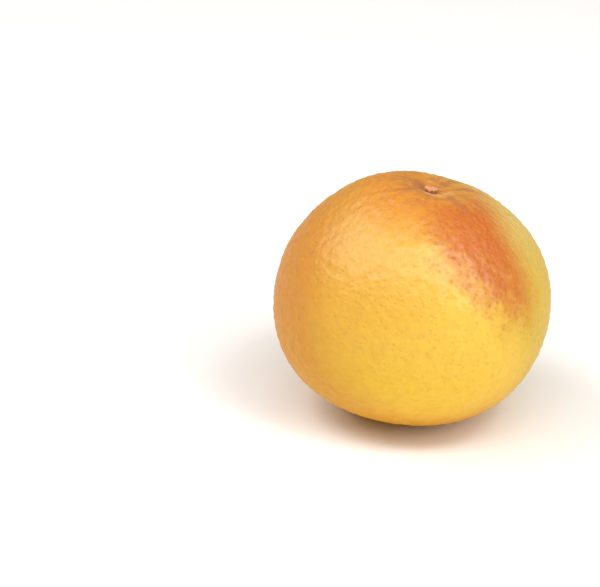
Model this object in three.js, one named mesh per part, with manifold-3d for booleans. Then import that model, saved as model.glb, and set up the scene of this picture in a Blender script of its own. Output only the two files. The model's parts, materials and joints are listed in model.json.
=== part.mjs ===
// A whole grapefruit, in millimetres, +Z up, stem end on top. The origin is the middle of the small
// flat spot that it rests on. It grew as one piece, so it is one solid: a slightly squashed ball whose
// core leans a little, with a sunken stem end, the round scar that the stem left, a few broad
// swellings, and a flat where its own weight presses the rind against the table.
import * as THREE from "three";
import { mergeVertices } from "three/addons/utils/BufferGeometryUtils.js";
import Module from "manifold-3d";

// The body, measured from the middle of the fruit.
const EQUATOR_RADIUS = 50;
const STEM_END = 45.4; // to the stem end, before the dimple sinks it
const BLOSSOM_END = 43.8; // to the opposite end, where the flower was
const STEM_POWER = 1.96; // 2 is an ellipse, and more is squarer
const BLOSSOM_POWER = 2.15;

// The core bends: each end leans towards +X by its own angle.
const STEM_LEAN = THREE.MathUtils.degToRad(6.9);
const BLOSSOM_LEAN = THREE.MathUtils.degToRad(3);

// The stem end: a shallow dimple with a corky scar at its bottom, inside a narrow crevice.
const DIMPLE_DEPTH = 3.4;
const DIMPLE_RADIUS = 8.5;
const SCAR_RADIUS = 2.5;
const SCAR_RISE = 0.5;
const CREVICE_DEPTH = 0.6;
const CREVICE_WIDTH = 0.9;

// The blossom end: a faint pit where the style dropped off.
const PIT_DEPTH = 0.5;
const PIT_RADIUS = 2.2;

// Broad swellings, and one faint hollow behind the stem end: how far the surface stands out towards a
// direction, and how tightly.
const SWELLINGS = [
  { toward: [-0.85, -0.25, -0.45], height: 2.1, tightness: 6 },
  { toward: [-0.35, 0, 0.9], height: 1.9, tightness: 14 },
  { toward: [0.55, -0.3, -0.8], height: 1.2, tightness: 8 },
  { toward: [-0.45, 0.45, -0.77], height: 1.5, tightness: 8 },
  { toward: [0.35, 0.9, 0.1], height: 0.9, tightness: 7 },
  { toward: [0.85, 0.2, 0.45], height: 0.5, tightness: 12 },
  { toward: [0.2, 0.41, 0.89], height: -0.5, tightness: 80 },
].map((swelling) => ({ ...swelling, toward: new THREE.Vector3(...swelling.toward).normalize() }));

const FLAT_DEPTH = 0.5; // how far the lowest point is pressed in

// Mesh density: columns round the core, and rings from the stem end to the blossom end.
const COLUMNS = 64;
const SCAR_RINGS = [0, 1.2, 2.1, 2.6, 3.2, 4.4]; // radii of the rings on and around the scar
const BODY_RINGS = 30;
const PIT_RINGS = [2.6, 1.3, 0]; // radii of the rings in the pit

const lerp = THREE.MathUtils.lerp;
const hump = (x) => Math.exp(-x * x);

// Distance from the middle to the plain body at an angle from the stem end: a superellipse whose end
// distance and power pass smoothly from the stem end's to the blossom end's.
function bodyDistance(angle) {
  const height = Math.cos(angle);
  const stemShare = (1 + height) / 2;
  const end = lerp(BLOSSOM_END, STEM_END, stemShare);
  const power = lerp(BLOSSOM_POWER, STEM_POWER, stemShare);
  const sideways = (Math.sin(angle) / EQUATOR_RADIUS) ** power;
  return (sideways + (Math.abs(height) / end) ** power) ** (-1 / power);
}

// How far the surface is lowered at a radius from the core: dimple and crevice, less the scar's rise.
function stemSink(radius) {
  const scarRise = (SCAR_RISE * (1 - Math.tanh((radius - SCAR_RADIUS) / 0.3))) / 2;
  const crevice = CREVICE_DEPTH * hump((radius - SCAR_RADIUS - CREVICE_WIDTH / 2) / CREVICE_WIDTH);
  return DIMPLE_DEPTH * hump(radius / DIMPLE_RADIUS) + crevice - scarRise;
}

// The outline from the stem end down to the blossom end, as [radius, height] points on the axis plane.
function outline() {
  const ringAngle = (radius) => Math.asin(radius / EQUATOR_RADIUS);
  const stemAngles = SCAR_RINGS.map(ringAngle);
  const blossomAngles = PIT_RINGS.map((radius) => Math.PI - ringAngle(radius));
  const first = stemAngles.at(-1);
  const last = blossomAngles[0];
  const bodyAngles = Array.from({ length: BODY_RINGS }, (_, ring) =>
    lerp(first, last, (ring + 1) / (BODY_RINGS + 1)),
  );
  return [...stemAngles, ...bodyAngles, ...blossomAngles].map((angle, index, all) => {
    const onAxis = index === 0 || index === all.length - 1;
    const distance = bodyDistance(angle);
    const radius = onAxis ? 0 : distance * Math.sin(angle);
    const plainHeight = distance * Math.cos(angle);
    const height = plainHeight > 0
      ? plainHeight - stemSink(radius)
      : plainHeight + PIT_DEPTH * hump(radius / PIT_RADIUS);
    return new THREE.Vector2(radius, height);
  });
}

// Pushes a point out along its direction from the middle by the sum of the swellings there.
function swell(point) {
  const direction = point.clone().normalize();
  const push = SWELLINGS.reduce(
    (sum, { toward, height, tightness }) =>
      sum + height * Math.exp(tightness * (direction.dot(toward) - 1)),
    0,
  );
  return point.addScaledVector(direction, push);
}

// Tips a point towards +X by the lean at its height on the core.
function lean(point) {
  const stemShare = (1 + point.z / point.length()) / 2;
  const angle = lerp(BLOSSOM_LEAN, STEM_LEAN, stemShare);
  return point.applyAxisAngle(new THREE.Vector3(0, 1, 0), angle);
}

// The whole fruit about its middle, before it is set down.
function fruitGeometry() {
  const lathe = new THREE.LatheGeometry(outline().reverse(), COLUMNS);
  lathe.rotateX(Math.PI / 2); // the lathe turns about Y, and the core stands along Z
  lathe.deleteAttribute("normal");
  lathe.deleteAttribute("uv");
  const fruit = mergeVertices(lathe, 1e-3);
  const places = fruit.getAttribute("position");
  const point = new THREE.Vector3();
  for (let i = 0; i < places.count; i += 1) {
    lean(swell(point.fromBufferAttribute(places, i)));
    places.setXYZ(i, point.x, point.y, point.z);
  }
  return fruit;
}

// Cuts the flat spot with a level block, and moves the fruit so that the spot's middle is the origin.
function setDown(fruit, wasm) {
  const solidOf = (geometry) =>
    new wasm.Manifold(
      new wasm.Mesh({
        numProp: 3,
        vertProperties: geometry.getAttribute("position").array,
        triVerts: new Uint32Array(geometry.index.array),
      }),
    );
  fruit.computeBoundingBox();
  const floor = fruit.boundingBox.min.z + FLAT_DEPTH;
  const blockSide = 3 * EQUATOR_RADIUS;
  const block = new THREE.BoxGeometry(blockSide, blockSide, blockSide);
  block.translate(0, 0, floor - blockSide / 2);
  block.deleteAttribute("normal");
  block.deleteAttribute("uv");
  const cut = solidOf(fruit).subtract(solidOf(mergeVertices(block, 1e-3))).getMesh();

  const geometry = new THREE.BufferGeometry()
    .setAttribute("position", new THREE.BufferAttribute(new Float32Array(cut.vertProperties), 3))
    .setIndex(new THREE.BufferAttribute(new Uint32Array(cut.triVerts), 1));
  const places = geometry.getAttribute("position");
  const spot = new THREE.Box3();
  const point = new THREE.Vector3();
  for (let i = 0; i < places.count; i += 1) {
    point.fromBufferAttribute(places, i);
    if (Math.abs(point.z - floor) < 1e-3) spot.expandByPoint(point);
  }
  const middle = spot.getCenter(new THREE.Vector3());
  geometry.translate(-middle.x, -middle.y, -floor);
  geometry.computeVertexNormals();
  return geometry;
}

const wasm = await Module();
wasm.setup();

const rind = new THREE.MeshStandardMaterial({ color: 0xf2a93c, roughness: 0.45, metalness: 0 });
const grapefruit = new THREE.Mesh(setDown(fruitGeometry(), wasm), rind);
grapefruit.name = "grapefruit";

const part = new THREE.Group();
part.add(grapefruit);
export default part;
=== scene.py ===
"""A whole ripe grapefruit on a pale studio floor.

The fruit is one surface on a grid of two angles: a squashed ball with a leaning core, a sunken stem
end with the corky scar of the stem, a rind pitted by oil glands, and a flat spot where it rests.
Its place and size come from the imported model. Lengths are in metres.
"""

import itertools
import json
from collections import namedtuple
from math import cos, pi, radians, sin

import bpy
import numpy as np
from bpy.props import FloatProperty, FloatVectorProperty, IntProperty, PointerProperty
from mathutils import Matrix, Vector


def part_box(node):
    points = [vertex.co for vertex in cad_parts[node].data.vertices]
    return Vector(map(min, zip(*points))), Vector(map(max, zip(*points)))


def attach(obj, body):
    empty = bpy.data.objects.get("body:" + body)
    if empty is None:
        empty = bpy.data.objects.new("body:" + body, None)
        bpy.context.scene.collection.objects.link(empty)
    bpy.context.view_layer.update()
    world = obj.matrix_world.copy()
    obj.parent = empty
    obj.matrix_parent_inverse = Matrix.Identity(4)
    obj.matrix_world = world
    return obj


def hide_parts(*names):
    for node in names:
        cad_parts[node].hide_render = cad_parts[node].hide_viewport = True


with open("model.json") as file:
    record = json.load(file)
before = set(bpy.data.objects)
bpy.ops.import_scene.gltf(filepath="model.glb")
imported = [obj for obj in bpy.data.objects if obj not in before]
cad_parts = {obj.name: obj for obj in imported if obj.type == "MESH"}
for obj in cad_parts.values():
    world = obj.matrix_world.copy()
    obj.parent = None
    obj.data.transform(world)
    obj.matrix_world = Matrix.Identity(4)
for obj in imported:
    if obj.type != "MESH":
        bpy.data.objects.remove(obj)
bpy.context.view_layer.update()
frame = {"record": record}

bl_info = {
    "name": "Grapefruit",
    "version": (1, 0, 0),
    "blender": (4, 5, 0),
    "location": "View3D > Sidebar > Grapefruit",
    "description": "Builds a whole ripe grapefruit with a pitted, blushed rind, and a studio for it",
    "category": "Add Mesh",
}

NODE = frame["record"]["subparts"][0]["node"]

MM = 0.001

# A rectangular softbox that faces the fruit: its azimuth goes from the camera's side towards +X, and
# its power is a share of the studio's light power.
LIGHT_DISTANCE = 2.5
Softbox = namedtuple("Softbox", "name azimuth elevation width height share")
SOFTBOXES = (
    Softbox("left_softbox", -88, 51, 2.2, 1.6, 0.33),
    Softbox("overhead_softbox", 6, 66, 2.3, 0.6, 0.285),
    Softbox("right_softbox", 58, 40, 1.1, 2.4, 0.40),
)

# A broad swelling of the body: the surface stands out by height towards a direction, and a larger
# tightness gathers it closer round that direction.
Swelling = namedtuple("Swelling", "toward height tightness")
SWELLINGS = (
    Swelling((-0.85, -0.25, -0.45), 2.1 * MM, 6),
    Swelling((-0.35, 0, 0.9), 1.9 * MM, 14),
    Swelling((0.55, -0.3, -0.8), 1.2 * MM, 8),
    Swelling((-0.45, 0.45, -0.77), 1.5 * MM, 8),
    Swelling((0.35, 0.9, 0.1), 0.9 * MM, 7),
    Swelling((0.85, 0.2, 0.45), 0.5 * MM, 12),
    Swelling((0.2, 0.41, 0.89), -0.5 * MM, 80),
)


def length(name, description, default, **more):
    """A property that holds a length in metres."""
    return FloatProperty(
        name=name, description=description, default=default, unit="LENGTH", precision=5, **more
    )


def angle(name, description, degrees):
    """A property that holds an angle, given here in degrees."""
    return FloatProperty(
        name=name, description=description, default=radians(degrees), unit="ROTATION"
    )


def colour(name, description, default):
    """A property that holds a colour."""
    return FloatVectorProperty(
        name=name, description=description, default=default, subtype="COLOR", min=0, max=1
    )


class FruitShape(bpy.types.PropertyGroup):
    """The sizes of the fruit's body, of its stem end and of the relief of its rind."""

    equator_radius: length("Equator radius", "Radius round the core", 50 * MM)
    stem_end: length("Stem end", "From the middle to the undimpled stem end", 45.4 * MM)
    blossom_end: length("Blossom end", "From the middle to the blossom end", 43.8 * MM)
    stem_power: FloatProperty(
        name="Stem half power",
        description="How square the outline is near the stem end: 2 is an ellipse",
        default=1.96,
        min=1.5,
        max=4,
    )
    blossom_power: FloatProperty(
        name="Blossom half power",
        description="How square the outline is near the blossom end: 2 is an ellipse",
        default=2.15,
        min=1.5,
        max=4,
    )
    stem_lean: angle("Stem lean", "How far the stem end leans towards +X", 6.9)
    blossom_lean: angle("Blossom lean", "How far the blossom end leans towards +X", 3)
    dimple_depth: length("Dimple depth", "How far the stem end is sunk", 3.4 * MM)
    dimple_radius: length("Dimple radius", "Radius of the sunken stem end", 8.5 * MM)
    scar_radius: length("Scar radius", "Radius of the round scar of the stem", 2.5 * MM)
    scar_rise: length("Scar rise", "How far the scar stands up in the dimple", 0.8 * MM)
    crevice_depth: length("Crevice depth", "Depth of the narrow ring round the scar", 0.9 * MM)
    crevice_width: length("Crevice width", "Half width of the ring round the scar", 0.7 * MM)
    furrow_depth: length("Furrow depth", "Depth of the furrows that run to the scar", 0.35 * MM)
    pit_depth: length("Blossom pit depth", "Depth of the pit at the blossom end", 0.5 * MM)
    pit_radius: length("Blossom pit radius", "Radius of the pit at the blossom end", 2.2 * MM)
    lump_size: length("Lump size", "Width of the faint lumps of the body", 22 * MM)
    lump_height: length("Lump height", "Height of the faint lumps of the body", 0.35 * MM)
    pebble_size: length("Pebble size", "Spacing of the rind's soft pebbles", 2.7 * MM)
    pebble_height: length("Pebble height", "Depth of the hollows between pebbles", 0.28 * MM)
    gland_size: length("Gland spacing", "Spacing of the larger oil-gland pits", 1.9 * MM)
    gland_depth: length("Gland depth", "Depth of the larger oil-gland pits", 0.17 * MM)
    wrinkle_size: length("Wrinkle size", "Width of the wrinkles round the stem end", 5 * MM)
    wrinkle_height: length("Wrinkle height", "Height of the wrinkles round the stem end", 0.3 * MM)
    press_depth: length("Press depth", "How far the weight presses in the lowest point", 0.5 * MM)
    columns: IntProperty(
        name="Columns", description="Grid columns round the core", default=436, min=16
    )
    rows: IntProperty(
        name="Rows", description="Grid rows from the stem end to the blossom end", default=218, min=16
    )


class RindFinish(bpy.types.PropertyGroup):
    """The colours and the gloss of the rind."""

    yellow: colour("Yellow", "Ripe rind away from the sun", (0.87, 0.540, 0.031))
    clear_yellow: colour("Clear yellow", "The ripest rind, beside the blush", (0.77, 0.488, 0.052))
    deep_yellow: colour("Deep yellow", "Rind that is not quite as ripe", (0.69, 0.332, 0.005))
    orange: colour("Orange", "The warm cast over the crown", (0.652, 0.253, 0.027))
    # Amber: partly the rind's own warm colour and partly painted shade with painted warm light on the
    # left flank.
    amber_and_shade: colour("Amber", "The warm cast of the left flank", (0.64, 0.18, 0.004))
    blush: colour("Blush", "The red blush of the sunny side", (0.53, 0.136, 0.019))
    green_yellow: colour("Green yellow", "The shaded margin beside the blush", (0.59, 0.39, 0.03))
    # Painted light: the paler colour of the margin's upper part.
    painted_light_green: colour("Pale green", "The upper part of the shaded margin", (0.63, 0.46, 0.115))
    # Bloom: partly the rind's own pale bloom and partly a painted highlight on the upper front.
    bloom_and_highlight: colour("Bloom", "Pale wax bloom on the upper front", (0.614, 0.263, 0.047))
    pore: colour("Pore", "Tint of the oil glands over the skin", (0.72, 0.60, 0.35))
    scar: colour("Scar", "The corky face of the stem scar", (0.71, 0.33, 0.165))
    collar: colour("Collar", "Tanned skin round the stem end", (0.50, 0.20, 0.032))
    # Lip: a painted highlight on the crest in front of the scar.
    lip: colour("Lip", "The pale crest in front of the scar", (0.74, 0.37, 0.12))
    # Hollow: brown for the streaks, the blossom speck and a stain left of the scar, and painted shade
    # in that hollow.
    hollow: colour("Hollow", "Brown skin in the hollow beside the scar", (0.36, 0.12, 0.05))
    # Crevice: dark for the cork's grain, and painted shade in the ring round the scar.
    crevice: colour("Crevice", "The dark ring round the scar", (0.20, 0.055, 0.010))
    roughness: FloatProperty(
        name="Roughness", description="Roughness of the skin", default=0.45, min=0, max=1
    )
    wax_roughness: FloatProperty(
        name="Wax roughness", description="Roughness of the coat of wax", default=0.37, min=0, max=1
    )
    pore_size: length("Pore spacing", "Spacing of the fine oil-gland pores", 1.9 * MM)
    pore_depth: length("Pore depth", "Depth of the fine pores", 0.24 * MM)


class Studio(bpy.types.PropertyGroup):
    """The camera, the lights and the floor."""

    elevation: angle("Camera elevation", "Angle of the camera above the horizon", 25)
    distance: length("Camera distance", "From the camera to the middle of the fruit", 0.55)
    focal_length: FloatProperty(
        name="Focal length", description="Lens of the camera in millimetres", default=90.1, min=10
    )
    aim_left: length("Aim left", "How far left of the fruit the camera aims", 40.8 * MM)
    aim_down: length("Aim down", "How far below the fruit's middle the camera aims", 1.2 * MM)
    light_power: FloatProperty(
        name="Light power", description="Power of all the softboxes together", default=106, unit="POWER"
    )
    surroundings: FloatProperty(
        name="Surroundings", description="Strength of the light from all round", default=0.26, min=0
    )
    fill: colour("Fill colour", "Colour of the light from all round", (1.0, 0.87, 0.69))
    floor: colour("Floor", "Colour of the floor", (0.935, 0.935, 0.945))
    floor_size: length("Floor size", "Side of the square floor", 8.0)


# ---------------------------------------------------------------- noise on arrays of points


def scatter(corners, seed):
    """Three steady random numbers from 0 to 1 for each whole-number corner, from a sine hash."""
    turns = corners @ np.array(
        ((127.1, 269.5, 113.5), (311.7, 183.3, 271.9), (74.7, 246.1, 124.6))
    )
    return np.modf(np.abs(np.sin(turns + seed) * 43758.5453))[0]


def nearest_seed(points, size, seed):
    """Distance from each point to the nearest seed, in cell sides, with one seed placed at random in
    each cube of a lattice whose side is size."""
    spots = points / size
    cell = np.floor(spots)
    nearest = np.full(spots.shape[:-1], np.inf)
    for step in itertools.product((-1, 0, 1), repeat=3):
        corner = cell + step
        away = corner + scatter(corner, seed) - spots
        nearest = np.minimum(nearest, (away**2).sum(-1))
    return np.sqrt(nearest)


def soft_noise(points, size, seed):
    """Smooth noise from -1 to 1: random numbers at the corners of a lattice whose side is size,
    blended inside each cube with the weight 3f^2 - 2f^3 along each axis."""
    spots = points / size
    cell = np.floor(spots)
    blend = (spots - cell) ** 2 * (3 - 2 * (spots - cell))
    total = 0
    for step in itertools.product((0, 1), repeat=3):
        weight = np.where(np.array(step) == 1, blend, 1 - blend).prod(-1)
        total = total + weight * scatter(cell + step, seed)[..., 0]
    return 2 * total - 1


def hump(x):
    """A smooth hump that is 1 at 0: exp(-x^2)."""
    return np.exp(-(x**2))


def rise(x, low, high):
    """0 below low and 1 above high, with a smooth step between them."""
    f = np.clip((x - low) / (high - low), 0, 1)
    return f * f * (3 - 2 * f)


# ---------------------------------------------------------------- the fruit's surface


def row_angles(rows):
    """Angles from the stem end to the blossom end, one more than rows. The steps are a third as long
    round the stem scar as on the rest of the body, and they grow smoothly in between."""
    finest = 0.33
    steps = finest + (1 - finest) * rise(np.linspace(0, 1, rows), 0.12, 0.3)
    angles = np.concatenate(((0,), np.cumsum(steps)))
    return pi * (angles / angles[-1])


def body(shape, fall, turn):
    """The plain body. At the angle fall from the stem end, the distance from the middle is
    ((sin fall / equator radius)^p + (|cos fall| / end)^p)^(-1/p). The end distance and the power p
    go from the blossom end's values to the stem end's with (1 + cos fall) / 2."""
    share = (1 + np.cos(fall)) / 2
    end = shape.blossom_end + (shape.stem_end - shape.blossom_end) * share
    power = shape.blossom_power + (shape.stem_power - shape.blossom_power) * share
    sideways = (np.sin(fall) / shape.equator_radius) ** power
    distance = (sideways + (np.abs(np.cos(fall)) / end) ** power) ** (-1 / power)
    radius = distance * np.sin(fall)
    return np.stack(
        (radius * np.cos(turn), radius * np.sin(turn), distance * np.cos(fall) + 0 * turn), -1
    )


def stem_relief(shape, radius, turn):
    """Height of the stem end's relief at a radius from the core: minus a wide dimple, minus a narrow
    crevice that is deepest in front, plus the scar's raised disc, minus furrows that fan out from the
    scar. The scar's edge wavers with the turn about the core, and the furrows bend on their way."""
    rim_width = 0.25 * MM
    furrow_middle, furrow_reach, bend_length = 7.5 * MM, 4.5 * MM, 3 * MM
    edge = shape.scar_radius * (1 + 0.12 * np.cos(2 * turn) + 0.05 * np.sin(5 * turn + 2.1))
    disc = shape.scar_rise * (1 - np.tanh((radius - edge) / rim_width)) / 2
    from_crevice = (radius - edge - shape.crevice_width / 2) / shape.crevice_width
    front_share = (1 - np.sin(turn + 0.3)) / 2
    crevice = shape.crevice_depth * (0.25 + 0.75 * front_share) * hump(from_crevice)
    dimple = shape.dimple_depth * hump(radius / shape.dimple_radius)
    bent = turn + 0.25 * np.sin(radius / bend_length)
    waves = (np.cos(5 * bent + 0.4) + 0.6 * np.cos(8 * bent + 2.2)) / 1.6
    furrows = shape.furrow_depth * hump((radius - furrow_middle) / furrow_reach) * waves
    return disc - crevice - dimple - furrows


def swell(points):
    """Moves each point out along its direction d from the middle, by the sum over the swellings of
    height * exp(tightness * (d . toward - 1))."""
    outward = points / np.linalg.norm(points, axis=-1, keepdims=True)
    push = 0
    for swelling in SWELLINGS:
        toward = np.array(swelling.toward) / np.linalg.norm(swelling.toward)
        push = push + swelling.height * np.exp(swelling.tightness * (outward @ toward - 1))
    return points + outward * push[..., None]


def lean(shape, points):
    """Turns each point about Y towards +X by the core's lean at its height."""
    share = (1 + points[..., 2] / np.linalg.norm(points, axis=-1)) / 2
    tilt = shape.blossom_lean + (shape.stem_lean - shape.blossom_lean) * share
    x = points[..., 0] * np.cos(tilt) + points[..., 2] * np.sin(tilt)
    z = points[..., 2] * np.cos(tilt) - points[..., 0] * np.sin(tilt)
    return np.stack((x, points[..., 1], z), -1)


def grown(shape, fall, turn):
    """The fruit's smooth surface about its middle: the plain body with the stem end's relief and the
    blossom pit, swollen and then leaned."""
    points = body(shape, fall, turn)
    radius = np.hypot(points[..., 0], points[..., 1])
    pit = shape.pit_depth * hump(radius / shape.pit_radius)
    relief = np.where(np.cos(fall) > 0, stem_relief(shape, radius, turn), pit)
    points[..., 2] += relief
    return lean(shape, swell(points))


def rind_relief(shape, points, radius_at_stem):
    """How far the rind's skin lies under the smooth surface: faint lumps, soft pebbles between which
    it is hollow, a pit at each larger oil gland, and wrinkles that ring the stem end. The wrinkles
    die out away from it, and all but the lumps fade out on the stem scar."""
    lumps = shape.lump_height * (0.5 - 0.5 * soft_noise(points, shape.lump_size, 3.0))
    pebbles = shape.pebble_height * rise(nearest_seed(points, shape.pebble_size, 11.0), 0.15, 0.85)
    glands = shape.gland_depth * hump(nearest_seed(points, shape.gland_size, 23.0) / 0.5)
    off_scar = rise(radius_at_stem, shape.scar_radius, shape.scar_radius + 2 * MM)
    crown = 1 - rise(radius_at_stem, 14 * MM, 26 * MM)
    stretched = np.stack((2.4 * radius_at_stem, 0.5 * points[..., 0], 0.5 * points[..., 1]), -1)
    stretched = np.where(crown[..., None] > 0, stretched, 0)
    wrinkles = shape.wrinkle_height * soft_noise(stretched, shape.wrinkle_size, 31.0)
    return lumps + (pebbles - 0.25 * shape.pebble_height + glands + wrinkles * crown) * off_scar


def cork_relief(shape, points, radius_at_stem):
    """Height of the crumbs and cracks on the stem scar's corky face."""
    crumb_height, crumb_size = 0.22 * MM, 0.9 * MM
    crack_depth, crack_spacing = 0.18 * MM, 1.3 * MM
    on_scar = 1 - rise(radius_at_stem, 0.8 * shape.scar_radius, 1.15 * shape.scar_radius)
    crumbs = crumb_height * soft_noise(points, crumb_size, 5.0)
    cracks = crack_depth * hump(nearest_seed(points, crack_spacing, 7.0) / 0.3)
    return on_scar * (crumbs - cracks)


def outward_normals(points):
    """Unit normals of a grid of points (rows from the stem end down, columns round the core), as the
    cross product of the steps down and round. At the two ends it is the mean of the next row's."""
    down = np.gradient(points, axis=0)
    round_core = (np.roll(points, -1, axis=1) - np.roll(points, 1, axis=1)) / 2
    normals = np.cross(down, round_core)
    normals[0] = normals[1].mean(0)
    normals[-1] = normals[-2].mean(0)
    return normals / np.linalg.norm(normals, axis=-1, keepdims=True)


def set_down(points, box, press_depth):
    """The shift that puts the fruit in the frame: its sides are centred in the box, and its lowest
    point is press_depth under the floor."""
    low, high = points.min((0, 1)), points.max((0, 1))
    centre = (np.array(box[0]) + np.array(box[1])) / 2
    shift = centre - (low + high) / 2
    shift[2] = box[0][2] - press_depth - low[2]
    return shift


def press(points, floor):
    """Presses the lowest part flat on the floor: a height h over the floor becomes
    (h + sqrt(h^2 + k^2)) / 2, with k so small that only the edge of the flat spot is rounded."""
    rounding = 0.06 * MM
    over = points[..., 2] - floor
    points[..., 2] = floor + (over + np.sqrt(over**2 + rounding**2)) / 2
    return points


def fruit_points(shape):
    """The finished surface as a grid of points, and the middle of the fruit in the frame."""
    fall = row_angles(shape.rows)[:, None]
    turn = np.linspace(0, 2 * pi, shape.columns, endpoint=False)[None, :]
    smooth = grown(shape, fall, turn)
    core_radius = np.hypot(*np.moveaxis(body(shape, fall, turn)[..., :2], -1, 0))
    radius_at_stem = np.where(np.cos(fall) > 0, core_radius, np.inf)
    sink = rind_relief(shape, smooth, radius_at_stem) - cork_relief(shape, smooth, radius_at_stem)
    points = smooth - outward_normals(smooth) * sink[..., None]
    for end in (0, -1):
        points[end] = points[end].mean(0)
    shift = set_down(smooth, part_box(NODE), shape.press_depth)
    return press(points + shift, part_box(NODE)[0][2]), shift


def flat_places(fall, columns, corners):
    """Where the corners of faces lie on a flat layout from 0 to 1, for baking. Faces near the two ends
    lie on two discs in its lower half, each corner at its turn and at its angle from that end. The
    band between them is cut into two strips in its upper half, with the turn along and the angle
    across."""
    gap = 0.008
    cap = pi / 3
    disc_radius = strip_width = 0.25
    own_row, own_column = np.moveaxis(corners.min(1, keepdims=True), -1, 0)
    drop, turn = fall[corners[..., 0]], 2 * pi / columns * corners[..., 1]
    low = fall[own_row] > pi - cap
    reach = (disc_radius - gap) / cap * np.where(low, pi - drop, drop)
    disc_middle = np.where(low, 3 * disc_radius, disc_radius)
    on_discs = (disc_middle + reach * np.cos(turn), disc_radius + reach * np.sin(turn))
    second = own_column >= columns / 2
    along = gap + (1 - 2 * gap) * (turn / pi - second)
    across = gap + (drop - cap) / (pi - 2 * cap) * (strip_width - 2 * gap) + strip_width * second
    on_strips = (along, across + 2 * disc_radius)
    near_end = low | (fall[own_row] < cap)
    return np.where(near_end[..., None], np.stack(on_discs, -1), np.stack(on_strips, -1))


def grid_mesh(name, points, fall):
    """A closed mesh from the grid: one vertex at each end, rings between them, triangles round the
    ends and quads elsewhere, with the faces looking out, and with a flat layout for baking."""
    rows, columns = points.shape[0] - 1, points.shape[1]
    vertices = np.concatenate((points[:1, 0], points[1:-1].reshape(-1, 3), points[-1:, 0]))

    def faces(own_rows, row_steps, column_steps):
        """Rows and columns of the corners, with a face at each of the rows and at every column."""
        own = np.stack(np.meshgrid(own_rows, np.arange(columns), indexing="ij"), -1)
        return own.reshape(-1, 1, 2) + np.stack((row_steps, column_steps), -1)

    def numbers(corners):
        """The corners' vertex numbers."""
        row, column = corners[..., 0], corners[..., 1] % columns
        inside = 1 + (row - 1) * columns + column
        return np.where(row == 0, 0, np.where(row == rows, len(vertices) - 1, inside))

    parts = (
        faces((0,), (0, 1, 1), (0, 0, 1)),
        faces((rows - 1,), (1, 0, 0), (0, 1, 0)),
        faces(range(1, rows - 1), (0, 1, 1, 0), (0, 0, 1, 1)),
    )
    mesh = bpy.data.meshes.new(name)
    mesh.from_pydata(vertices.tolist(), [], sum((numbers(part).tolist() for part in parts), []))
    mesh.shade_smooth()
    layout = [flat_places(fall, columns, part).reshape(-1) for part in parts]
    mesh.uv_layers.new(name="OFBake").uv.foreach_set("vector", np.concatenate(layout))
    return mesh


# ---------------------------------------------------------------- shader maths


class Link:
    """The output of a shader node. Arithmetic on it adds Math nodes."""

    def __init__(self, board, socket):
        self.board = board
        self.socket = socket

    def __add__(self, other):
        return self.board.math("ADD", self, other)

    __radd__ = __add__

    def __sub__(self, other):
        return self.board.math("SUBTRACT", self, other)

    def __rsub__(self, other):
        return self.board.math("SUBTRACT", other, self)

    def __mul__(self, other):
        return self.board.math("MULTIPLY", self, other)

    __rmul__ = __mul__

    def __truediv__(self, other):
        return self.board.math("DIVIDE", self, other)

    def other(self, name):
        """Another output of the same node."""
        return Link(self.board, self.socket.node.outputs[name])


class Board:
    """The nodes of one material."""

    def __init__(self, name):
        self.material = bpy.data.materials.new(name)
        self.material.use_nodes = True
        self.tree = self.material.node_tree
        self.tree.nodes.clear()

    def add(self, kind, settings=None, values=None, output=None):
        """Adds a node of a kind, sets its settings, then its sockets' values or links by name or by
        number, and gives the link of its first live output or of the one that is named."""
        node = self.tree.nodes.new(kind)
        for key, setting in (settings or {}).items():
            setattr(node, key, setting)
        live = [socket for socket in node.inputs if socket.enabled]
        for key, value in (values or {}).items():
            found = live[key] if isinstance(key, int) else next(s for s in live if s.name == key)
            if isinstance(value, Link):
                self.tree.links.new(value.socket, found)
            else:
                found.default_value = value
        outputs = [s for s in node.outputs if s.enabled and output in (None, s.name)]
        return Link(self, outputs[0]) if outputs else None

    def math(self, operation, *values):
        """A Math node."""
        return self.add("ShaderNodeMath", {"operation": operation}, dict(enumerate(values)))

    def vector(self, operation, *values, output=None):
        """A Vector Math node."""
        return self.add(
            "ShaderNodeVectorMath", {"operation": operation}, dict(enumerate(values)), output
        )

    def rise(self, value, low, high):
        """0 below low and 1 above high, with a smooth step between them."""
        return self.add(
            "ShaderNodeMapRange",
            {"interpolation_type": "SMOOTHSTEP"},
            {"Value": value, "From Min": low, "From Max": high},
        )

    def ring(self, value, start, full, wane, gone):
        """1 from full to wane, and 0 up to start and past gone, with smooth steps between."""
        return self.rise(value, start, full) * (1 - self.rise(value, wane, gone))

    def blend(self, share, first, second, mode="MIX"):
        """Colours mixed by a share from the first, at 0, to the second, at 1."""
        return self.add(
            "ShaderNodeMix",
            {"data_type": "RGBA", "blend_type": mode},
            {"Factor": share, "A": opaque(first), "B": opaque(second)},
        )

    def noise(self, place, size, detail=2.0, roughness=0.5):
        """Noise from 0 to 1 whose features are about size wide."""
        return self.add(
            "ShaderNodeTexNoise",
            None,
            {"Vector": place, "Scale": 1 / size, "Detail": detail, "Roughness": roughness},
        )

    def cells(self, place, size):
        """Distance to the nearest of scattered seeds that are about size apart, in sizes."""
        return self.add(
            "ShaderNodeTexVoronoi", None, {"Vector": place, "Scale": 1 / size}, "Distance"
        )

    def along(self, place, direction):
        """How far a vector reaches along a direction."""
        return self.vector("DOT_PRODUCT", place, tuple(direction), output="Value")


def opaque(value):
    """A colour with its alpha of 1, or a link as it is."""
    return value if isinstance(value, Link) else (*value[:3], 1.0)


# ---------------------------------------------------------------- the rind's material

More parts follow.
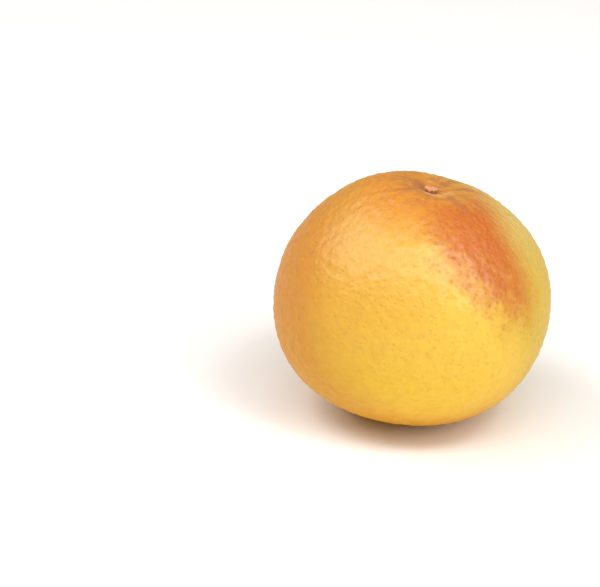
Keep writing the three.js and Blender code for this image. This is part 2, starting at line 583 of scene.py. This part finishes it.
# A region of the rind round a direction from the middle of the fruit; without a direction it lies
# round the stem scar. Its share goes from 0 where the cosine of the angle to that direction is start
# to most where it is full, and waver is how strongly the mottling shifts its edge. A full over 1 is
# never quite reached, so such a region stays below most.
Region = namedtuple("Region", "toward start full waver most", defaults=(0, 1))
SUNNY_SHOULDER = (0.652, -0.389, 0.651)
SHADED_SIDE = (0.906, 0.393, 0.154)
RIPE = Region((0.208, -0.916, 0.342), 0.40, 0.78, 1)
CLEAR = Region(SUNNY_SHOULDER, -0.02, 0.69, 0.5)
# The amber flank: partly the rind's own colour, partly painted shade with painted warm light from the
# left.
AMBER_AND_SHADE_FLANK = Region((-0.97, -0.02, 0.24), 0.60, 1.0, 0.6, 0.55)
# The bloom: partly the rind's own bloom, partly a painted highlight.
BLOOM_AND_HIGHLIGHT = Region((-0.651, -0.494, 0.576), 0.28, 1.15, 0.3, 0.66)
CROWN = Region(None, 0.67, 0.93, 0.5)
BLUSH = Region(SUNNY_SHOULDER, 0.73, 0.975, 1)
BLUSH_END = Region(SHADED_SIDE, 0.438, 0.756, 0.6)
STEM_HALF = Region(None, -0.48, 0.45, 1)
BESIDE_STEM = Region(None, 0.932, 1.03)
MARGIN = Region(SHADED_SIDE, 0.09, 0.59, 0.6)
BACK = Region((-0.35, 0.93, 0.05), 0.1, 0.95, 1, 0.75)
UNDERSIDE = Region((0, 0, -1), -0.10, 0.20, 0, 0.18)
# Where the margin is painted lighter on its upper part, as painted light.
PAINTED_LIGHT_TOP = Region((0, 0, 1), 0.2, 0.75)
WAXED = Region((0, -0.5, 0.866), 0.30, 0.85, 0, 0.55)


def pore_pattern(board, place, finish):
    """The fine oil-gland pores, 1 at a pore's middle and 0 on the skin between: one sparse, wide set
    and one finer set, at places that a little noise has shifted."""
    drift = board.noise(place, 3 * finish.pore_size).other("Color")
    shifted = board.vector("ADD", place, board.vector("SCALE", drift, 0.35 * finish.pore_size))
    wide = 1 - board.rise(board.cells(shifted, finish.pore_size), 0.05, 0.55)
    fine = 1 - board.rise(board.cells(shifted, 0.6 * finish.pore_size), 0.05, 0.5)
    return wide, fine


class RindPattern:
    """The places and the noises that break up the rind's colours. The ripple shifts the edges of the
    regions by broad waves, by mottling and by the wide pores."""

    def __init__(self, board, finish, middle, scar_place):
        self.board = board
        self.place = board.add("ShaderNodeTexCoord", None, None, "Object")
        self.outward = board.vector("NORMALIZE", board.vector("SUBTRACT", self.place, tuple(middle)))
        self.stem_way = (scar_place - middle) / np.linalg.norm(scar_place - middle)
        self.broad = board.noise(self.place, 24 * MM, 3)
        self.mottle = board.noise(self.place, 5 * MM, 3)
        self.blotch = board.rise(board.noise(self.place, 3.2 * MM, 1), 0.42, 0.66)
        self.grain = board.noise(self.place, 0.8 * MM, 2)
        self.wide_pores, self.fine_pores = pore_pattern(board, self.place, finish)
        self.pores = self.wide_pores * 0.7 + self.fine_pores * 0.3
        waves = (self.broad - 0.5) * 0.12 + (self.mottle - 0.5) * 0.20
        self.ripple = waves + (self.wide_pores - 0.3) * 0.04

    def share(self, region, setback=0):
        """How much of a region lies here. A setback moves the region's edge back."""
        toward = self.stem_way if region.toward is None else region.toward
        reach = self.board.along(self.outward, toward) + self.ripple * region.waver - setback
        return self.board.rise(reach, region.start, region.full) * region.most


def body_colours(pattern, finish):
    """The skin away from its two ends. Deep yellow ripens to yellow on the front and clears beside
    the blush, with an amber flank, which is partly the rind's own colour and partly painted shade
    with painted warm light from beside it, and a pale bloom, which is partly the rind's own bloom
    and partly a painted highlight. Behind the sunny shoulder lies a greener margin, which is set
    back underneath and fades round the back; its upper part is paler, which is painted light. An
    orange crown and the red blush lie over them, and pores and blotches tint it all. The blush
    covers the sunny shoulder on the stem half, but stops at the margin and beside the stem."""
    board, share = pattern.board, pattern.share
    skin = board.blend(share(RIPE), finish.deep_yellow, finish.yellow)
    skin = board.blend(share(CLEAR), skin, finish.clear_yellow)
    # Amber flank: partly own colour, partly painted shade and painted warm light.
    skin = board.blend(share(AMBER_AND_SHADE_FLANK), skin, finish.amber_and_shade)
    # Pale bloom: partly own colour, partly a painted highlight.
    skin = board.blend(share(BLOOM_AND_HIGHLIGHT), skin, finish.bloom_and_highlight)
    # The margin's colour, painted paler towards the top as painted light.
    green = board.blend(share(PAINTED_LIGHT_TOP), finish.green_yellow, finish.painted_light_green)
    margin = share(MARGIN, share(UNDERSIDE)) * (1 - share(BACK))
    skin = board.blend(margin, skin, green)
    skin = board.blend(share(CROWN) * (1 - margin * 0.7), skin, finish.orange)
    blush = share(BLUSH) * share(STEM_HALF) * (1 - share(BLUSH_END)) * (1 - share(BESIDE_STEM))
    skin = board.blend(blush * (1 - pattern.fine_pores * 0.2), skin, finish.blush)
    freckles = pattern.pores * (pattern.broad * 0.12 + 0.05) + pattern.blotch * 0.10
    return board.blend(freckles, skin, finish.pore, "MULTIPLY")


def stem_end_colours(pattern, finish, shape, scar_place, skin):
    """The stem end over the skin: tanned skin with brown streaks that fan out, a pale lip on the
    near right that is a painted highlight on the crest in front of the scar, a brown hollow on the
    left that is partly a brown stain and partly painted shade, a crevice darkened by painted shade
    that is darkest in front, and the corky scar. Also gives how corky each place is and where the
    front of the crevice is painted in shade, from 0 to 1. The distance out from the scar's edge is
    in millimetres, and mottling shifts it."""
    board = pattern.board
    beside = board.vector("SUBTRACT", pattern.place, tuple(scar_place))
    beside = board.vector("MULTIPLY", beside, (0.9, 1.12, 1.0))
    from_middle = board.vector("LENGTH", beside, output="Value") / MM
    out = from_middle + (pattern.mottle - 0.5) - shape.scar_radius / MM
    way_out = board.vector("NORMALIZE", beside)
    in_front = board.rise(board.along(way_out, (0.05, -1, 0)), 0.1, 0.8)
    near_right = board.rise(board.along(way_out, (0.4, -0.92, 0)), 0.3, 0.9)
    to_left = board.rise(board.along(way_out, (-0.95, 0.3, 0)), 0.3, 1.0)

    tanned = 1 - board.rise(out, 4.5, 15.5)
    fan = board.vector("SCALE", way_out, 2.6)
    fan = board.vector("ADD", fan, board.vector("SCALE", pattern.place, 1 / (18 * MM)))
    streaks = board.rise(board.noise(fan, 1.0, 3, 0.6), 0.46, 0.62) * (1 - board.rise(out, 6.5, 23.5))
    # Painted highlight on the near-right crest in front of the scar.
    lip = board.ring(out, 0.9, 2.4, 4.0, 7.5) * near_right
    # Partly a brown stain and partly painted shade in the hollow left of the scar.
    hollow = (1 - board.rise(out, 1.5, 5.5)) * to_left
    # Painted shade in the ring round the scar.
    crevice = board.ring(out, -0.6, -0.1, 0.6, 1.4)
    cork = 1 - board.rise(out, -0.6, -0.25)

    skin = board.blend(tanned * 0.8, skin, finish.collar)
    skin = board.blend(streaks * 0.6, skin, finish.hollow)
    skin = board.blend(lip * 0.7, skin, finish.lip)
    skin = board.blend(hollow * 0.6, skin, finish.hollow)
    # Painted shade in the crevice, darkest in front.
    skin = board.blend(crevice * (in_front * 0.8 + 0.15), skin, finish.crevice)
    face = board.blend(pattern.grain * 0.3, finish.scar, finish.crevice)
    return board.blend(cork, skin, face), cork, crevice * in_front


def blossom_end_colours(pattern, finish, shape, pit_place, skin):
    """The blossom end over the skin: a brown speck where the flower has been, in a tanned patch."""
    board = pattern.board
    pit_radius = shape.pit_radius / MM
    beside = board.vector("SUBTRACT", pattern.place, tuple(pit_place))
    from_middle = board.vector("LENGTH", beside, output="Value") / MM + (pattern.mottle - 0.5) * 1.2
    tanned = 1 - board.rise(from_middle, pit_radius * 0.8, pit_radius * 3.2)
    speck = 1 - board.rise(from_middle, pit_radius * 0.45, pit_radius * 0.8)
    skin = board.blend(tanned * 0.45, skin, finish.collar)
    return board.blend(speck * 0.85, skin, finish.hollow)


def rind_material(finish, shape, middle, scar_place, pit_place):
    """Waxy citrus rind: the body's colours with the stem end and the blossom end over them, fine
    pores in low relief, and a soft coat of wax that is thickest on the upper front and is missing
    from the cork and from the front of the crevice, where the crevice is painted in shade."""
    board = Board("citrus_rind")
    pattern = RindPattern(board, finish, middle, scar_place)
    skin = body_colours(pattern, finish)
    skin, cork, dry = stem_end_colours(pattern, finish, shape, scar_place, skin)
    skin = blossom_end_colours(pattern, finish, shape, pit_place, skin)

    roughness = finish.roughness + (pattern.mottle - 0.5) * 0.12 + pattern.pores * 0.08 + cork * 0.35
    # No wax where the front of the crevice is painted in shade.
    wax = (1 - cork) * (1 - dry) * (pattern.share(WAXED) + 0.05)
    pits = (pattern.wide_pores * 0.7 + pattern.fine_pores * 0.25) * (1 - cork)
    height = (pattern.grain - 0.5) * 0.10 - pits
    bump = board.add(
        "ShaderNodeBump", None, {"Strength": 1.0, "Distance": finish.pore_depth, "Height": height}
    )
    shader = board.add(
        "ShaderNodeBsdfPrincipled",
        None,
        {
            "Base Color": skin,
            "Roughness": roughness,
            "Normal": bump,
            "IOR": 1.45,
            "Specular IOR Level": 0.28,
            "Coat Weight": wax,
            "Coat Roughness": finish.wax_roughness,
            "Subsurface Weight": 0.06,
            "Subsurface Radius": (4 * MM, 2.2 * MM, 0.8 * MM),
            "Subsurface Scale": 1.0,
        },
    )
    board.add("ShaderNodeOutputMaterial", None, {"Surface": shader})
    return board.material


def plain_material(name, colour_value, roughness):
    """One matt colour, for the studio."""
    board = Board(name)
    shader = board.add(
        "ShaderNodeBsdfPrincipled",
        None,
        {"Base Color": opaque(colour_value), "Roughness": roughness},
    )
    board.add("ShaderNodeOutputMaterial", None, {"Surface": shader})
    return board.material


def show(name, mesh, material):
    """Links a new object with its place in its mesh, and gives it its material."""
    piece = bpy.data.objects.new(name, mesh)
    bpy.context.scene.collection.objects.link(piece)
    mesh.materials.append(material)
    return piece


# ---------------------------------------------------------------- operators


class GRAPEFRUIT_OT_fruit(bpy.types.Operator):
    """Build the fruit: its surface, its baking layout and its rind"""

    bl_idname = "grapefruit.fruit"
    bl_label = "Build the fruit"

    def execute(self, context):
        shape = context.scene.fruit_shape
        points, shift = fruit_points(shape)
        mesh = grid_mesh("grapefruit_rind", points, row_angles(shape.rows))
        finish = context.scene.rind_finish
        material = rind_material(finish, shape, shift, points[0, 0], points[-1, 0])
        piece = show("grapefruit_rind", mesh, material)
        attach(piece, "root")
        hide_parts(NODE)
        return {"FINISHED"}


class GRAPEFRUIT_OT_studio(bpy.types.Operator):
    """Set up the floor, the surroundings, the lights and the camera"""

    bl_idname = "grapefruit.studio"
    bl_label = "Set up the studio"

    def execute(self, context):
        studio = context.scene.studio
        low, high = (Vector(corner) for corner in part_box(NODE))
        middle = (low + high) / 2
        self.add_floor(studio, low.z)
        self.add_surroundings(context.scene, studio)
        for softbox in SOFTBOXES:
            self.add_softbox(softbox, middle, studio.light_power * softbox.share)
        self.add_camera(context.scene, studio, middle)
        context.scene.view_settings.view_transform = "Standard"
        return {"FINISHED"}

    def add_floor(self, studio, height):
        """A level square sheet just under the fruit."""
        half = studio.floor_size / 2
        gap = 0.02 * MM
        sides = ((-1, -1), (1, -1), (1, 1), (-1, 1))
        corners = [(x * half, y * half, height - gap) for x, y in sides]
        mesh = bpy.data.meshes.new("studio_floor")
        mesh.from_pydata(corners, [], [(0, 1, 2, 3)])
        show("studio_floor", mesh, plain_material("pale_floor", studio.floor, 0.7))

    def add_surroundings(self, scene, studio):
        """An even, slightly warm world that fills the shadows."""
        scene.world = bpy.data.worlds.new("warm_room")
        scene.world.use_nodes = True
        background = scene.world.node_tree.nodes["Background"]
        background.inputs["Color"].default_value = opaque(studio.fill)
        background.inputs["Strength"].default_value = studio.surroundings

    def add_softbox(self, softbox, middle, power):
        """A rectangular softbox that faces the fruit."""
        lamp = bpy.data.lights.new(softbox.name, "AREA")
        lamp.shape = "RECTANGLE"
        lamp.size = softbox.width
        lamp.size_y = softbox.height
        lamp.energy = power
        holder = bpy.data.objects.new(softbox.name, lamp)
        azimuth, elevation = radians(softbox.azimuth), radians(softbox.elevation)
        away = Vector(
            (sin(azimuth) * cos(elevation), -cos(azimuth) * cos(elevation), sin(elevation))
        )
        holder.location = middle + away * LIGHT_DISTANCE
        holder.rotation_euler = away.to_track_quat("Z", "Y").to_euler()
        bpy.context.scene.collection.objects.link(holder)

    def add_camera(self, scene, studio, middle):
        """A camera in front of the fruit that looks down at it and aims a little to its left."""
        lens = bpy.data.cameras.new("camera")
        lens.lens = studio.focal_length
        camera = bpy.data.objects.new("camera", lens)
        back = Vector((0, -cos(studio.elevation), sin(studio.elevation)))
        up = Vector((0, sin(studio.elevation), cos(studio.elevation)))
        aim = middle - Vector((1, 0, 0)) * studio.aim_left - up * studio.aim_down
        camera.location = middle + back * studio.distance
        camera.rotation_euler = (camera.location - aim).to_track_quat("Z", "Y").to_euler()
        scene.collection.objects.link(camera)
        scene.camera = camera


class VIEW3D_PT_grapefruit(bpy.types.Panel):
    """The sizes, the colours and the two build steps."""

    bl_label = "Grapefruit"
    bl_space_type = "VIEW_3D"
    bl_region_type = "UI"
    bl_category = "Grapefruit"

    def draw(self, context):
        for group in (context.scene.fruit_shape, context.scene.rind_finish, context.scene.studio):
            box = self.layout.box()
            for key in group.bl_rna.properties.keys():
                if key not in ("rna_type", "name"):
                    box.prop(group, key)
        self.layout.operator(GRAPEFRUIT_OT_fruit.bl_idname)
        self.layout.operator(GRAPEFRUIT_OT_studio.bl_idname)


CLASSES = (
    FruitShape,
    RindFinish,
    Studio,
    GRAPEFRUIT_OT_fruit,
    GRAPEFRUIT_OT_studio,
    VIEW3D_PT_grapefruit,
)


def register():
    """Registers the classes, and hangs the settings on the scene."""
    for cls in CLASSES:
        bpy.utils.register_class(cls)
    bpy.types.Scene.fruit_shape = PointerProperty(type=FruitShape)
    bpy.types.Scene.rind_finish = PointerProperty(type=RindFinish)
    bpy.types.Scene.studio = PointerProperty(type=Studio)


def unregister():
    """Undoes register."""
    for name in ("fruit_shape", "rind_finish", "studio"):
        delattr(bpy.types.Scene, name)
    for cls in reversed(CLASSES):
        bpy.utils.unregister_class(cls)


def main():
    """Builds everything in order."""
    register()
    bpy.ops.grapefruit.fruit()
    bpy.ops.grapefruit.studio()


if __name__ == "__main__":
    main()
